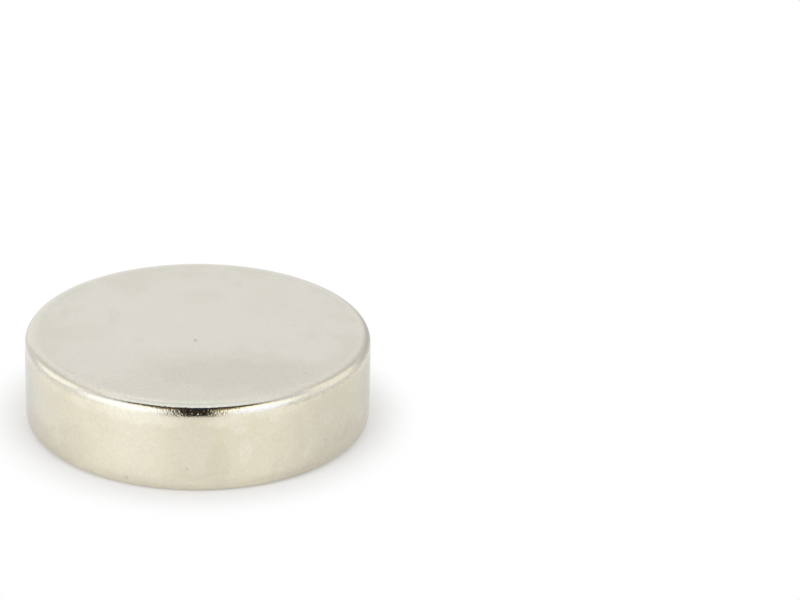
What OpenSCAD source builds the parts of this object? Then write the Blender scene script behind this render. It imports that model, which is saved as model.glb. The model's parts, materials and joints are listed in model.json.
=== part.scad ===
// Disc magnet: one sintered disc, tumbled at its edges and nickel plated all over.
// It lies on a pole face. The origin is the centre of that face, and +Z runs along
// the disc's axis, which is also the direction of magnetisation.

/* [Disc] */
// Diameter over the plating
disc_d = 22; // [10:0.5:60]
// Thickness from pole face to pole face
disc_t = 6; // [3:0.25:20]

/* [Tumbled edges] */
// Radius of the round between the side and each pole face
edge_r = 0.55; // [0.2:0.05:1]
// Radius of the gentle fall at the border of each pole face, before the round
fall_r = 2.5; // [1.5:0.25:4]
// Angle that this fall turns through, in degrees
fall_turn = 8; // [2:1:15]

/* [Hidden] */
$fn = 180;

disc_r = disc_d / 2;
// Direction of the surface's normal where the fall hands over to the round, up from the disc's plane
handover = 90 - fall_turn;
// The round stands this much proud of the fall, so that the two arcs cross instead of only touching
arc_bite = 0.00001;
// How far in from the side, and down from the pole face, the rounded border reaches
border_in = edge_r + (fall_r - edge_r) * cos(handover);
border_down = fall_r - (fall_r - edge_r) * sin(handover) - arc_bite;
// Centre of the round
edge_centre = [-edge_r, -border_down];

// Upper half of the disc's section, drawn from the corner where the lines of its side and its pole face meet
module upper_section() {
    polygon([
        [-disc_r, -disc_t / 2],
        [0, -disc_t / 2],
        [0, -border_down],
        [-border_in, -border_down],
        [-border_in, 0],
        [-disc_r, 0],
    ]);
    // The round
    translate(edge_centre)
        circle(r = edge_r);
    // The fall, from the flat of the pole face to the round
    intersection() {
        translate([-border_in, -fall_r])
            circle(r = fall_r);
        polygon([
            [-border_in, -border_down],
            edge_centre,
            edge_centre + 2 * edge_r * [cos(handover), sin(handover)],
            [-border_in, edge_r],
        ]);
    }
}

module magnet() {
    color([0.86, 0.84, 0.79])
        rotate_extrude() {
            translate([disc_r, disc_t])
                upper_section();
            translate([disc_r, 0])
                mirror([0, 1])
                    upper_section();
        }
}

magnet();
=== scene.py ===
import json
import math

import bpy
from mathutils import Matrix, Vector


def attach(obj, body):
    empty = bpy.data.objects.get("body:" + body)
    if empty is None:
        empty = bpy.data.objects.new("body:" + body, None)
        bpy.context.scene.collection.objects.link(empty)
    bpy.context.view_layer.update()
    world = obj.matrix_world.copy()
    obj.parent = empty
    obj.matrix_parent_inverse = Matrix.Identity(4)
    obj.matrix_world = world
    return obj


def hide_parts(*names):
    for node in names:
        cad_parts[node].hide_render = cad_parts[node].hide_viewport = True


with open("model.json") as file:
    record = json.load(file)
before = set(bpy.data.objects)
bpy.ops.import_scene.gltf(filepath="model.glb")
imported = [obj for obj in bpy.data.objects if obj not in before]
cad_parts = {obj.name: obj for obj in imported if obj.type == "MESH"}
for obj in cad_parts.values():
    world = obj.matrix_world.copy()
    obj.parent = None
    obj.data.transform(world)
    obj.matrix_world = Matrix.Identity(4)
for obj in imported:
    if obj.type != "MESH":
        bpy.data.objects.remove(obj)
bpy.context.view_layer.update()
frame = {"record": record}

mm = 0.001
mounts = {mount["name"]: mount for mount in frame["record"]["mounts"]}
discRadius = mounts["rim"]["dims"]["r_mm"] * mm
discThickness = mounts["upper_face"]["pos_m"][2]

scene = bpy.context.scene
scene.view_settings.view_transform = "Standard"


# Wraps an output socket, so that a node tree is written as sums. add() makes any other node.
class Wire:
    def __init__(self, tree, socket=None):
        self.tree = tree
        self.socket = socket

    def add(self, kind, settings=None, sockets=None, output=0):
        node = self.tree.nodes.new(kind)
        for name, value in (settings or {}).items():
            setattr(node, name, value)
        for key, value in (sockets or {}).items():
            if isinstance(value, Wire):
                self.tree.links.new(value.socket, node.inputs[key])
            else:
                node.inputs[key].default_value = value
        return Wire(self.tree, node.outputs[output]) if node.outputs else node

    def output(self, name):  # another output of the same node
        return Wire(self.tree, self.socket.node.outputs[name])

    def math(self, operation, *values):
        return self.add("ShaderNodeMath", {"operation": operation}, dict(enumerate(values)))

    def ramp(self, start, end, low=0.0, high=1.0, kind="SMOOTHSTEP"):  # low before start, high after end
        settings = {"interpolation_type": kind, "clamp": True}
        return self.add("ShaderNodeMapRange", settings, {0: self, 1: start, 2: end, 3: low, 4: high})

    def vector(self, operation, *values):
        output = "Value" if operation in ("LENGTH", "DISTANCE") else "Vector"
        return self.add("ShaderNodeVectorMath", {"operation": operation}, dict(enumerate(values)), output)

    def mix(self, first, second):  # two colours, by this share, through the node's colour sockets
        return self.add("ShaderNodeMix", {"data_type": "RGBA"}, {0: self, 6: first, 7: second}, 2)

    def __add__(self, other):
        return self.math("ADD", self, other)

    def __radd__(self, other):
        return self.math("ADD", other, self)

    def __sub__(self, other):
        return self.math("SUBTRACT", self, other)

    def __rsub__(self, other):
        return self.math("SUBTRACT", other, self)

    def __mul__(self, other):
        return self.math("MULTIPLY", self, other)

    def __rmul__(self, other):
        return self.math("MULTIPLY", other, self)

    def __truediv__(self, other):
        return self.math("DIVIDE", self, other)

    def __rtruediv__(self, other):
        return self.math("DIVIDE", other, self)

    def __abs__(self):
        return self.math("ABSOLUTE", self)


def newMaterial(name):
    material = bpy.data.materials.new(name)
    material.use_nodes = True
    material.node_tree.nodes.clear()
    return material, Wire(material.node_tree)


def newObject(name, data, *materials):
    made = bpy.data.objects.new(name, data)
    scene.collection.objects.link(made)
    for material in materials:
        data.materials.append(material)
    return made


def seen(path):  # by the camera, in a mirror or through glass
    both = path.math("MAXIMUM", path.output("Is Camera Ray"), path.output("Is Glossy Ray"))
    return path.math("MAXIMUM", both, path.output("Is Transmission Ray"))


def aroundDisc(azimuth, elevation, radius):  # azimuth 0 is in front, in degrees as elevation is
    a, e = math.radians(azimuth), math.radians(elevation)
    return Vector((math.sin(a) * math.cos(e), -math.cos(a) * math.cos(e), math.sin(e))) * radius


nickel = {
    "faceTone": (0.745, 0.715, 0.60),
    # The face's paler and warmer tones are partly the plating's uneven tone and partly painted
    # reflection: a lighter middle, a darker front.
    "paleToneAndSheen": (0.80, 0.752, 0.655),
    "warmToneAndShade": (0.715, 0.671, 0.562),
    # Painted light: the side gets a lighter, warmer copy of the face's colour, for the warm lamp light it
    # mirrors.
    "sideLitTone": (0.79, 0.74, 0.60),
    "browHighlightTone": (0.88, 0.835, 0.70),  # painted highlight: the side just under the rim is made lighter
    "stainTone": (0.84, 0.80, 0.69),
    # Painted shade: darker patches on the side, for the shadowed floor and dim walls that it mirrors.
    "paintedShadeTone": (0.68, 0.63, 0.52),
    "brightSheen": (0.86, 0.825, 0.72),  # where tumbling has polished it, and made lighter there as a painted highlight
    "dull": (0.40, 0.38, 0.34),  # in a speck
    "faceRoughness": 0.38,
    "sideRoughness": 0.21,
    "rimRoughness": 0.06,
    "cloudRoughness": 0.06,
    "mottleRoughness": 0.05,
    "sideStretch": 0.2,  # the side's grain runs round it, so reflections smear along the axis
    "sideGrainTurn": 0.25,  # of a full turn
    "cloudDepth": 0.06,
    "faceMottle": 0.13,
    "frontMottle": 0.12,  # added towards the front of the face
    "front": (-6.5 * mm, -1.5 * mm),  # from where it is full to where it has gone
    "sideMottle": 0.18,
    "hueDepth": 0.045,
    "footHeight": 1.1 * mm,  # painted shade: the colour darkens towards the foot, for the shadowed floor mirrored there
    "footShade": 0.06,
    "satinFoot": (0.4, 0.6),  # the foot's edge is left satin below this, in thicknesses
    "grainHeight": 0.25e-6,
    "peckWidth": 0.13 * mm,  # the rim is pecked by the other magnets in the tumbler
    "peckHeight": 6e-6,
    "peckSlope": (0.10, 0.55),  # from a peck's bottom to its brim, in its width
    "scuffHeight": 7e-6,
    "peckPatchDepth": (-0.16, 0.10, 0.4, 1.0),  # from a patch with faint pecks to one with deep ones
    "areaBorder": (0.6, 1.3),  # in half widths of the area
    "areaRaggedness": 1.6,
    "speckBorder": (0.4, 1.3),  # in radii of the speck
    # Where each thing starts or ends on the section, in mm up from the end of the straight side
    "polishStart": (0.075, 0.135),
    "startRaggedness": 0.16,
    "polishEnd": (1.0, 1.5),
    "endRaggedness": 0.25,
    # The band that tumbling polished is also lighter as a painted highlight.
    "burnishStart": (0.14, 0.30),
    "burnishEnd": (0.60, 0.90),
    # The next is where the side's painted lit colour gives way to the face's.
    "sideToneEnd": (0.85, 1.35),
    "pecksFade": (0.40, 0.70),
    "pecksLeft": 0.45,  # how deep they still are above that
    "streakSquash": 0.35,  # the streaks are longer over the rim than round it
}

# The noises that pattern it: width, detail and roughness
grains = {
    "clouds": (2.2 * mm, 4.0, 0.62),
    "mottle": (0.24 * mm, 3.0, 0.6),
    "hue": (0.5 * mm, 3.0, 0.7),
    "areaEdges": (1.3 * mm, 4.0, 0.6),
    "grain": (0.16 * mm, 1.0, 0.5),
    "scuffs": (0.10 * mm, 1.0, 0.5),
    "peckPatches": (0.9 * mm, 1.0, 0.5),
    "streaks": (0.3, 2.0, 0.5),  # in mm round the rim
}

# Soft areas of another tone: centre, half width and half height in mm, how much of the tone
# Partly painted reflection: the broad pale area lightens the middle of the face, the broad warm one
# darkens its front.
faceAreas = [
    ("paleToneAndSheen", 0.4, 2.8, 9.6, 6.6, 0.9),
    ("paleToneAndSheen", -6.2, -3.6, 3.0, 4.2, 0.65),
    ("paleToneAndSheen", 7.2, -2.8, 2.2, 1.9, 0.75),
    ("faceTone", -4.2, 7.0, 1.1, 1.8, 0.8),
    ("faceTone", 4.4, 4.6, 1.8, 2.6, 0.4),
    ("faceTone", 0.3, 5.2, 1.6, 1.2, 0.6),
    ("faceTone", -7.6, -0.5, 2.0, 1.3, 0.6),
    ("warmToneAndShade", 2.2, -6.6, 5.2, 2.4, 1.0),
    ("warmToneAndShade", -5.4, 2.1, 0.35, 1.4, 0.35),
    ("warmToneAndShade", -8.5, 2.7, 0.3, 1.0, 0.4),
]
# On the side, besides real stains: a painted highlight under the rim and patches of painted shade.
sideAreas = [  # the centre is given by azimuth in degrees and height
    ("browHighlightTone", -12.0, 5.3, 8.0, 0.8, 0.8),
    ("stainTone", -2.0, 3.4, 1.2, 2.1, 0.6),
    ("stainTone", 9.6, 4.8, 0.45, 0.30, 0.6),
    ("stainTone", 12.0, 4.5, 0.45, 0.32, 0.7),
    ("stainTone", 14.0, 4.1, 0.42, 0.35, 0.6),
    ("stainTone", 15.4, 2.7, 0.42, 0.90, 0.6),
    ("stainTone", -3.2, 4.1, 0.6, 0.8, 0.4),
    ("stainTone", 25.2, 4.7, 0.4, 0.45, 0.6),
    ("stainTone", 47.0, 3.6, 0.7, 0.6, 0.4),
    # Painted shade: these darken the side, most of all low down and towards its ends.
    ("paintedShadeTone", 7.0, 2.0, 0.75, 1.3, 0.35),
    ("paintedShadeTone", -68.0, 0.4, 3.4, 2.0, 0.8),
    ("paintedShadeTone", 58.0, 0.4, 5.2, 1.8, 0.75),
    ("paintedShadeTone", -77.0, 2.7, 1.4, 2.6, 0.35),
    ("paintedShadeTone", -79.0, 0.8, 1.3, 1.0, 0.5),
    ("paintedShadeTone", -45.0, 2.0, 1.5, 1.3, 0.5),
    ("paintedShadeTone", 31.0, 2.5, 1.4, 2.1, 0.45),
    ("paintedShadeTone", 77.0, 2.7, 1.2, 2.6, 0.3),
]
# Small dark spots: place as above, radius in mm, how dark
faceSpecks = [
    (-0.18, -1.60, 0.14, 0.55),
    (-0.16, -1.40, 0.13, 0.4),
    (2.2, -3.6, 0.11, 0.2),
    (6.7, -6.4, 0.15, 0.18),
    (-7.7, -6.3, 0.16, 0.18),
    (-5.75, -7.9, 0.15, 0.18),
]
sideSpecks = [
    (-23.5, 0.66, 0.12, 0.45),
    (-3.5, 1.67, 0.11, 0.3),
    (-37.0, 0.42, 0.12, 0.35),
]


def noise(place, kind):  # about 0
    width, detail, roughness = grains[kind]
    return place.add("ShaderNodeTexNoise", None, {
        "Vector": place, "Scale": 1 / width, "Detail": detail, "Roughness": roughness}) - 0.5


def onWall(azimuth, height):
    return aroundDisc(azimuth, 0, discRadius) + Vector((0, 0, height * mm))


def onFace(across, back):
    return Vector((across * mm, back * mm, discThickness))


def paintAreas(colour, place, edges, areas, within=1.0):
    for tone, centre, size, share in areas:
        away = place.vector("DIVIDE", place.vector("SUBTRACT", place, centre), [v * mm for v in size])
        away = place.vector("LENGTH", away) + edges * nickel["areaRaggedness"]
        amount = away.ramp(*nickel["areaBorder"], share, 0.0) * within
        colour = amount.mix(colour, (*nickel[tone], 1))
    return colour


def paintSpecks(colour, place, specks):
    inner, outer = nickel["speckBorder"]
    for centre, radius, share in specks:
        away = place.vector("DISTANCE", place, centre)
        amount = away.ramp(radius * mm * inner, radius * mm * outer, share, 0.0)
        colour = amount.mix(colour, (*nickel["dull"], 1))
    return colour


def rimPolish(x, y, meridian):  # with ragged borders
    reach = x.math("SQRT", x * x + y * y)
    # The streaks follow the azimuth and the section, both in mm
    around = x.add("ShaderNodeCombineXYZ", None, {
        0: x / reach * (discRadius / mm), 1: y / reach * (discRadius / mm),
        2: meridian * nickel["streakSquash"]})
    streaks = noise(around, "streaks")
    polish = (meridian + streaks * nickel["startRaggedness"]).ramp(*nickel["polishStart"])
    return polish * (1 - (meridian + streaks * nickel["endRaggedness"]).ramp(*nickel["polishEnd"]))


def rimPecks(place, meridian, polish):
    depth = polish * meridian.ramp(*nickel["pecksFade"], 1.0, nickel["pecksLeft"])
    depth = depth * noise(place, "peckPatches").ramp(*nickel["peckPatchDepth"])
    pecks = place.add("ShaderNodeTexVoronoi", None, {"Vector": place, "Scale": 1 / nickel["peckWidth"]})
    pecks = pecks.ramp(*nickel["peckSlope"], -nickel["peckHeight"], 0.0)
    return (pecks + noise(place, "scuffs") * nickel["scuffHeight"]) * depth


def platedSurface(name, onSide):
    material, start = newMaterial(name)
    place = start.add("ShaderNodeTexCoord", output="Object")
    x = start.add("ShaderNodeSeparateXYZ", None, {0: place})
    y, z = x.output("Y"), x.output("Z")
    meridian = start.add("ShaderNodeAttribute", {"attribute_name": "meridian"}, output="Fac") / mm
    clouds = noise(place, "clouds")
    mottle = noise(place, "mottle")
    edges = noise(place, "areaEdges")
    upper = z.ramp(*[share * discThickness for share in nickel["satinFoot"]])
    polish = rimPolish(x, y, meridian) * upper
    burnishSheen = meridian.ramp(*nickel["burnishStart"]) * (1 - meridian.ramp(*nickel["burnishEnd"])) * upper
    nearSide = 1 - meridian.ramp(*nickel["sideToneEnd"])

    side = [(tone, onWall(a, h), (w, w, v), share) for tone, a, h, w, v, share in sideAreas]
    specks = [(onWall(a, h), r, share) for a, h, r, share in sideSpecks]
    if onSide:
        rough = nickel["sideRoughness"]
        depth = nickel["sideMottle"]
        # The side's colour is painted light, a lit copy of the face's, with painted highlight and shade
        # areas on it.
        colour = paintAreas((*nickel["sideLitTone"], 1), place, edges, side)
    else:
        rough = nickel["faceRoughness"]
        rough = rough + nearSide * (nickel["sideRoughness"] - rough)
        depth = nickel["faceMottle"] + y.ramp(*nickel["front"], nickel["frontMottle"], 0.0)
        face = [(tone, onFace(a, b), (w, v, 1), share) for tone, a, b, w, v, share in faceAreas]
        specks += [(onFace(a, b), r, share) for a, b, r, share in faceSpecks]
        colour = paintAreas((*nickel["faceTone"], 1), place, edges, face)
        # The rounds near the side take the side's painted lit colour and its painted areas too.
        colour = nearSide.mix(colour, (*nickel["sideLitTone"], 1))
        colour = paintAreas(colour, place, edges, side, nearSide)
    # Painted highlight: the polished band round the rim is made lighter.
    colour = burnishSheen.mix(colour, (*nickel["brightSheen"], 1))

    shade = 1 + clouds * nickel["cloudDepth"] + mottle * depth
    # Painted shade: darker towards the foot.
    shade = shade - z.ramp(0.0, nickel["footHeight"], nickel["footShade"], 0.0)
    hue = noise(place, "hue") * nickel["hueDepth"]
    shade = start.add("ShaderNodeCombineXYZ", None, {0: shade + hue / 2, 1: shade, 2: shade - hue})
    colour = paintSpecks(start.vector("MULTIPLY", colour, shade), place, specks)

    rough = rough + clouds * nickel["cloudRoughness"] + mottle * nickel["mottleRoughness"]
    rough = rough + polish * (nickel["rimRoughness"] - rough)
    relief = noise(place, "grain") * nickel["grainHeight"] + rimPecks(place, meridian, polish)
    bump = start.add("ShaderNodeBump", None, {"Strength": 1.0, "Distance": 1.0, "Height": relief})
    metal = start.add("ShaderNodeBsdfPrincipled", None, {
        "Base Color": colour, "Metallic": 1.0, "Roughness": rough, "Normal": bump,
        "Anisotropic": nickel["sideStretch"] if onSide else 0.0,
        "Anisotropic Rotation": nickel["sideGrainTurn"] if onSide else 0.0})
    start.add("ShaderNodeOutputMaterial", None, {"Surface": metal})
    print("plating:", name, "with", len(specks), "specks")
    return material


disc = {
    "Diameter": 2 * discRadius,
    "Thickness": discThickness,
    "Edge Radius": 0.55 * mm,  # the round between side and face
    "Fall Radius": 2.5 * mm,  # the gentle fall at the border of each face
    "Fall Turn": math.radians(8),
    "Ease Radius": 2.6 * mm,  # the still slighter one at the borders of the side
    "Ease Turn": math.radians(8),
    "Columns": 1440,
    "Side Rows": 4,  # rows are counted from the middle of the side to the middle of a face
    "Ease Rows": 4,
    "Round Rows": 12,
    "Fall Rows": 4,
    "Face Rows": 6,
    "Side Crowding": 1.6,  # rows lie closer near the borders of the side
    "Face Crowding": 2.2,
    "Wave Depth": 6e-6,  # what tumbling leaves on the rounds
    "Wave Rise": 2.5,  # how soon they are at their full depth on the round
    "Waves Around": 46.0,
    "Ripple Depth": 1.4e-6,
    "Ripples Around": 460.0,
    "Ripple Length": 0.45 * mm,
    "Seed": 4.0,
    "Weld Distance": 1e-7,
}


def discTree(plating, sidePlating):
    tree = bpy.data.node_groups.new("tumbledDisc", "GeometryNodeTree")
    for name, value in disc.items():
        kind = "NodeSocketInt" if isinstance(value, int) else "NodeSocketFloat"
        tree.interface.new_socket(name, in_out="INPUT", socket_type=kind)
    tree.interface.new_socket("Geometry", in_out="OUTPUT", socket_type="NodeSocketGeometry")
    start = Wire(tree)
    inputs = start.add("NodeGroupInput")
    given = {name: inputs.output(name) for name in disc}
    edge, fall, ease = given["Edge Radius"], given["Fall Radius"], given["Ease Radius"]
    outer = given["Diameter"] / 2
    sideEnd = given["Side Rows"]
    easeEnd = sideEnd + given["Ease Rows"]
    roundEnd = easeEnd + given["Round Rows"]
    fallEnd = roundEnd + given["Fall Rows"]
    lastRow = fallEnd + given["Face Rows"]

    # Columns go round the disc, and rows go from the foot's middle over the side to the top's middle
    sheet = start.add("GeometryNodeMeshGrid", None, {
        "Size X": 2 * math.pi, "Size Y": 2.0,
        "Vertices X": given["Columns"] + 1, "Vertices Y": lastRow * 2 + 1})
    angle = start.add("ShaderNodeSeparateXYZ", None, {0: start.add("GeometryNodeInputPosition")})
    up = angle.output("Y")
    row = abs(up) * lastRow

    def sine(value):
        return start.math("SINE", value)

    def cosine(value):
        return start.math("COSINE", value)

    # The normal turns up from the side over three arcs, each tangent to the one before
    easeTurn, fallStart = given["Ease Turn"], math.pi / 2 - given["Fall Turn"]
    onEase = row.ramp(sideEnd, easeEnd, 0.0, easeTurn, "LINEAR")
    onRound = row.ramp(easeEnd, roundEnd, easeTurn, fallStart, "LINEAR")
    onFall = row.ramp(roundEnd, fallEnd, fallStart, math.pi / 2, "LINEAR")
    lean = onEase + onRound + onFall - easeTurn - fallStart
    flatRadius = outer - ease * (1 - cosine(easeTurn)) - edge * (cosine(easeTurn) - cosine(fallStart))
    flatRadius = flatRadius - fall * cosine(fallStart)
    sideHalf = given["Thickness"] / 2 - ease * sine(easeTurn) - edge * (sine(fallStart) - sine(easeTurn))
    sideHalf = sideHalf - fall * (1 - sine(fallStart))
    sideLeft = row.ramp(0.0, sideEnd, 1.0, 0.0, "LINEAR")
    climbed = sideHalf * (1 - start.math("POWER", sideLeft, given["Side Crowding"]))
    inward = row.ramp(fallEnd, lastRow, kind="LINEAR")
    inward = flatRadius * start.math("POWER", inward, given["Face Crowding"])
    radius = outer - ease * (1 - cosine(onEase)) - edge * (cosine(easeTurn) - cosine(onRound))
    radius = radius - fall * (cosine(fallStart) - cosine(onFall)) - inward
    height = climbed + ease * sine(onEase) + edge * (sine(onRound) - sine(easeTurn))
    height = height + fall * (sine(onFall) - sine(fallStart))
    meridian = climbed - sideHalf + ease * onEase + edge * (onRound - easeTurn)
    meridian = meridian + fall * (onFall - fallStart) + inward

    outX, outY = sine(angle), 0 - cosine(angle)

    def waves(around, depth, length, detail):  # always inwards
        turn = around / (2 * math.pi)
        spot = start.add("ShaderNodeCombineXYZ", None, {
            0: outX * turn, 1: outY * turn, 2: meridian / length})
        wave = start.add("ShaderNodeTexNoise", {"noise_dimensions": "4D"}, {
            "Vector": spot, "W": given["Seed"], "Scale": 1.0, "Detail": detail, "Roughness": 0.5})
        return (wave - 1) * depth

    rounded = start.math("MINIMUM", sine(lean * 2) * given["Wave Rise"], 1.0)
    waveLength = outer * 2 * math.pi / given["Waves Around"]
    dip = waves(given["Waves Around"], given["Wave Depth"], waveLength, 0.0)
    dip = dip + waves(given["Ripples Around"], given["Ripple Depth"], given["Ripple Length"], 1.0)
    radius = radius + dip * rounded * cosine(lean)
    height = height + dip * rounded * sine(lean)
    height = height * start.math("SIGN", up) + given["Thickness"] / 2

    # Marked while it is still flat, because a field is worked out where it is used
    marked = start.add("GeometryNodeStoreNamedAttribute", {"data_type": "FLOAT", "domain": "POINT"}, {
        "Geometry": sheet, "Name": "meridian", "Value": meridian})
    onSide = start.add("FunctionNodeCompare", {"data_type": "FLOAT", "operation": "LESS_THAN"}, {
        0: row, 1: sideEnd})
    marked = start.add("GeometryNodeStoreNamedAttribute", {"data_type": "BOOLEAN", "domain": "FACE"}, {
        "Geometry": marked, "Name": "onSide", "Value": onSide})
    spot = start.add("ShaderNodeCombineXYZ", None, {0: radius * outX, 1: radius * outY, 2: height})
    shaped = start.add("GeometryNodeSetPosition", None, {"Geometry": marked, "Position": spot})
    closed = start.add("GeometryNodeMergeByDistance", None, {
        "Geometry": shaped, "Distance": given["Weld Distance"]})
    smooth = start.add("GeometryNodeSetShadeSmooth", None, {"Geometry": closed})
    real = start.add("GeometryNodeRealizeInstances", None, {"Geometry": smooth})
    plated = start.add("GeometryNodeSetMaterial", None, {"Geometry": real, "Material": plating})
    chosen = start.add("GeometryNodeInputNamedAttribute", {"data_type": "BOOLEAN"}, {"Name": "onSide"})
    plated = start.add("GeometryNodeSetMaterial", None, {
        "Geometry": plated, "Selection": chosen, "Material": sidePlating})
    start.add("NodeGroupOutput", None, {"Geometry": plated})
    return tree


def makeDisc():
    tree = discTree(platedSurface("nickelPlating", False), platedSurface("sideNickelPlating", True))
    blank = newObject("discBlank", bpy.data.meshes.new("discBlank"))
    modifier = blank.modifiers.new("tumbledDisc", "NODES")
    modifier.node_group = tree
    for item in tree.interface.items_tree:
        if item.in_out == "INPUT":
            modifier[item.identifier] = disc[item.name]
    made = blank.evaluated_get(bpy.context.evaluated_depsgraph_get())
    mesh = bpy.data.meshes.new_from_object(made)
    bpy.data.objects.remove(blank)
    mesh.name = "discMagnet"
    mesh.attributes.remove(mesh.attributes["onSide"])
    mesh.materials.pop(index=0)  # the empty place that the grid starts with
    piece = newObject("discMagnet", mesh)
    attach(piece, "root")
    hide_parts("magnet")
    print("disc magnet:", len(mesh.vertices), "points,", len(mesh.polygons), "faces")


# What the nickel mirrors: the walls of a white room, and patches on them. Each patch has an azimuth,
# an elevation, half a width and half a height, in degrees, a squareness (2 is an ellipse), the width
# of its fading border in degrees, and a colour. Later patches cover earlier ones. Most of the values
# come from a least-squares fit to the look of the real rim, rounded. The table's are set one by one.
room = {
    "radius": 0.35,
    "lowest": -70,
    "wall": (0.93, 0.945, 0.99),
    "step": 1,  # degrees
}
patches = {
    "ceiling": (0, 91, 400, 36, 6, 20.5, (0.85, 0.9, 0.99)),
    "backCeiling": (-160, 82, 70, 24, 3, 10, (0.76, 0.80, 0.82)),
    "leftHigh": (-115, 36, 57, 13.5, 3, 8.5, (0.62, 0.67, 0.8)),
    "rightHigh": (93, 33.5, 90, 33.5, 3, 20, (0.66, 0.67, 0.72)),
    "leftWall": (-102, 5.5, 46.5, 52, 4, 6.5, (0.75, 0.75, 0.75)),
    "rightWall": (94.5, 7.5, 52.5, 17.5, 4, 5, (0.82, 0.83, 0.84)),
    "leftPanel": (-103, 19, 32, 30, 2, 19.5, (1.1, 1.1, 1.07)),
    "rightPanel": (101.5, 24, 33.5, 37, 2, 23, (0.95, 0.93, 0.86)),
    "leftDusk": (-132, -1, 10, 21, 3, 7, (0.68, 0.68, 0.72)),
    "rightDusk": (144, -9, 36.5, 43, 3, 24.5, (0.55, 0.55, 0.58)),
    "leftGlow": (-58.5, -9.5, 29, 43, 3, 17, (1.19, 1.23, 1.27)),
    "rightGlow": (11, 12.5, 69, 29, 3, 18, (1.44, 1.38, 0.91)),
    "leftSoftbox": (-30, 0.5, 40, 15, 2.5, 1.5, (1.32, 1.35, 1.38)),
    "rightSoftbox": (39.5, 1, 25, 21, 2.5, 8, (1.14, 1.19, 1.37)),
    "goldGap": (-2.5, -6, 24.5, 59.5, 6, 13, (0.49, 0.47, 0.385)),
    "brownFringe": (-0.5, 31.5, 33, 21, 4, 6, (0.35, 0.28, 0.16)),
    "darkRoom": (-4, 42.5, 70.5, 15.5, 4, 7.5, (0.08, 0.06, 0.035)),
    "lensGap": (-2, 12, 14.5, 44.5, 6, 6, (0.024, 0.02, 0.015)),
    "lensTop": (3, 43, 19.5, 10, 4, 2, (0.03, 0.035, 0.06)),
    "leftEdge": (-87, -20, 48, 9.5, 4, 7.5, (0.86, 0.87, 0.86)),
    "rightEdge": (109.5, -14.5, 59, 6.5, 4, 1.5, (0.72, 0.7, 0.68)),
    "leftFar": (-147, -14.5, 19, 17.5, 3, 4, (0.74, 0.75, 0.79)),
    "rightFar": (152.5, -24.5, 19.5, 10.5, 3, 5.5, (0.5, 0.45, 0.36)),
    "table": (0, -60, 400, 40, 30, 2, (1.02, 1.01, 0.97)),
    "tableGlow": (-42, -40, 40, 19, 3, 12, (1.05, 1.08, 1.08)),
    "tableGlowRight": (36, -40, 28, 19, 3, 6, (0.93, 0.93, 0.86)),
    "tableRight": (122, -45, 69, 24, 4, 8, (0.635, 0.665, 0.70)),
    "tableFarRight": (158, -45, 34, 24, 4, 12, (0.48, 0.52, 0.54)),
    "tableLeft": (-135, -45, 55, 24, 4, 14, (0.67, 0.73, 0.88)),
    "tableFarLeft": (-158, -45, 34, 24, 4, 12, (0.48, 0.55, 0.71)),
}


def roomColour(azimuth, elevation):
    colour = room["wall"]
    for turn, tilt, width, height, squareness, fade, tone in patches.values():
        across = abs((azimuth - turn + 180) % 360 - 180) / width
        up = abs(elevation - tilt) / height
        inside = 1 - (across ** squareness + up ** squareness) ** (1 / squareness)
        share = min(1.0, max(0.0, inside * min(width, height) / fade))
        share = share * share * (3 - 2 * share)
        colour = [c + (t - c) * share for c, t in zip(colour, tone)]
    return colour


def makeRoom():
    material, start = newMaterial("roomLight")
    shade = start.add("ShaderNodeAttribute", {"attribute_name": "shade"})
    glow = start.add("ShaderNodeEmission", None, {"Color": shade, "Strength": 1.0})
    start.add("ShaderNodeOutputMaterial", None, {"Surface": glow})
    material.cycles.emission_sampling = "NONE"  # mirrored in the nickel, but lights nothing
    azimuths = range(-180, 181, room["step"])
    elevations = range(room["lowest"], 91, room["step"])
    centre = Vector((0, 0, discThickness / 2))
    points, shades = [], []
    for elevation in elevations:
        for azimuth in azimuths:
            points.append(aroundDisc(azimuth, elevation, room["radius"]) + centre)
            shades += [*roomColour(azimuth, elevation), 1.0]
    across = len(azimuths)
    quads = [(j * across + i, j * across + i + 1, (j + 1) * across + i + 1, (j + 1) * across + i)
             for j in range(len(elevations) - 1) for i in range(across - 1)]
    mesh = bpy.data.meshes.new("mirroredRoom")
    mesh.from_pydata(points, [], quads)
    mesh.attributes.new("shade", "FLOAT_COLOR", "POINT").data.foreach_set("color", shades)
    walls = newObject("mirroredRoom", mesh, material)
    walls.visible_camera = walls.visible_diffuse = walls.visible_shadow = False
    walls.visible_transmission = walls.visible_volume_scatter = False
    print("room:", len(patches), "patches")


floor = {
    "colour": (0.95, 0.95, 0.95),
    "solidTo": 10.5 * mm,
    "fadedBy": 14.5 * mm,
    "drop": 0.01 * mm,  # under the disc's foot
    "white": 0.2,  # how much of the plate shows white whatever light falls on it
    "corners": 96,
}


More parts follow.
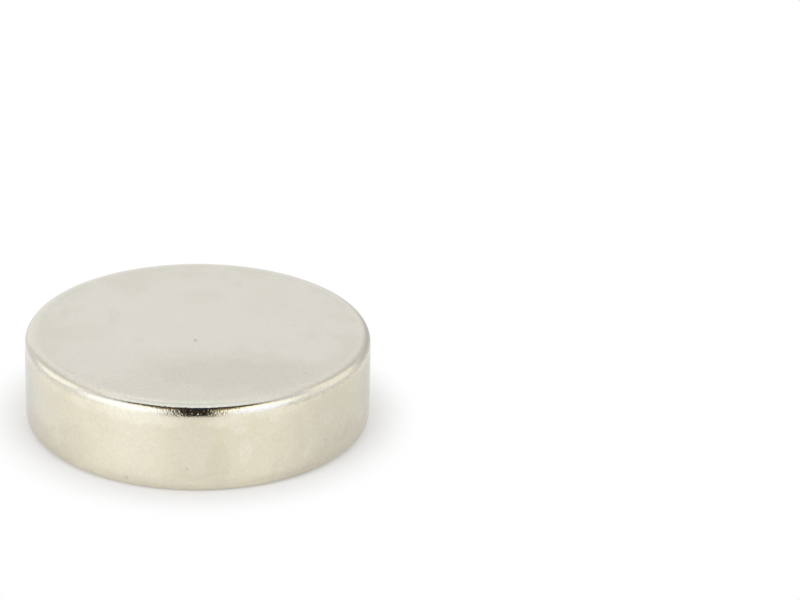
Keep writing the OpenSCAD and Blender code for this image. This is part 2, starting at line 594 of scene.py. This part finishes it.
def makeFloor():
    material, start = newMaterial("floorWhite")
    place = start.add("ShaderNodeTexCoord", output="Object")
    path = start.add("ShaderNodeLightPath")
    paint = start.add("ShaderNodeBsdfDiffuse", None, {"Color": (*floor["colour"], 1)})
    glow = start.add("ShaderNodeEmission", None, {"Color": (1, 1, 1, 1), "Strength": 1.0})
    paint = start.add("ShaderNodeMixShader", None, {0: seen(path) * floor["white"], 1: paint, 2: glow})
    clear = start.add("ShaderNodeBsdfTransparent")
    cameraRay = path.output("Is Camera Ray")
    beyond = start.add("ShaderNodeMixShader", None, {0: cameraRay, 1: clear, 2: glow})  # no border shows
    faded = start.vector("LENGTH", place).ramp(floor["solidTo"], floor["fadedBy"])
    shown = start.add("ShaderNodeMixShader", None, {0: faded, 1: paint, 2: beyond})
    start.add("ShaderNodeOutputMaterial", None, {"Surface": shown})
    corners = range(floor["corners"])
    turns = [2 * math.pi * corner / len(corners) for corner in corners]
    reach, height = floor["fadedBy"], -floor["drop"]
    rim = [(reach * math.sin(turn), -reach * math.cos(turn), height) for turn in turns]
    mesh = bpy.data.meshes.new("floorPlate")
    mesh.from_pydata(rim, [], [tuple(corners)])
    newObject("floorPlate", mesh, material)
    print("floor:", len(corners), "corners")


sky = {
    "strength": 0.72,  # on what it lights: where it is seen, it is plain white
}


def makeSky():
    world = bpy.data.worlds.new("whiteRoom")
    scene.world = world
    world.use_nodes = True
    world.node_tree.nodes.clear()
    start = Wire(world.node_tree)
    strength = sky["strength"] + seen(start.add("ShaderNodeLightPath")) * (1 - sky["strength"])
    white = start.add("ShaderNodeBackground", None, {"Color": (1, 1, 1, 1), "Strength": strength})
    start.add("ShaderNodeOutputWorld", None, {"Surface": white})
    world.cycles.sampling_method = "NONE"
    print("sky:", sky["strength"])


# Soft lamps: azimuth, elevation, distance and width in metres, power in watts
lamps = {
    "leftLamp": (-42, 32, 0.40, 0.25, 0.45),
    "rightLamp": (36, 32, 0.40, 0.25, 0.30),
}


def makeLamps():
    for name, (azimuth, elevation, distance, width, power) in lamps.items():
        light = bpy.data.lights.new(name, "AREA")
        light.shape = "SQUARE"
        light.size = width
        light.energy = power
        lamp = newObject(name, light)
        lamp.location = aroundDisc(azimuth, elevation, distance)
        lamp.rotation_euler = lamp.location.to_track_quat("Z", "Y").to_euler()
        lamp.visible_camera = lamp.visible_glossy = False
    print("lamps:", len(lamps))


# The angles, the distance and the lens come from a fit to the disc's outline
view = {
    "elevation": 25.44,
    "distance": 0.2368,
    "lens": 166.23,
    "turn": -3.127,  # off the disc's centre, so that it stands to the left and low in the frame
    "tip": 1.128,
    "sensor": 36,
    "clipStart": 0.01,
}


def makeCamera():
    data = bpy.data.cameras.new("camera")
    data.lens = view["lens"]
    data.sensor_width = view["sensor"]
    data.clip_start = view["clipStart"]
    camera = newObject("camera", data)
    back = aroundDisc(0, view["elevation"], view["distance"])
    aim = (-back).to_track_quat("-Z", "Y").to_matrix().to_4x4()
    turn = Matrix.Rotation(math.radians(view["turn"]), 4, "Y")
    turned = turn @ Matrix.Rotation(math.radians(view["tip"]), 4, "X")
    camera.matrix_world = Matrix.Translation(back + Vector((0, 0, discThickness / 2))) @ aim @ turned
    scene.camera = camera
    print("camera:", [round(v, 5) for v in camera.location])


makeDisc()
makeRoom()
makeFloor()
makeSky()
makeLamps()
makeCamera()
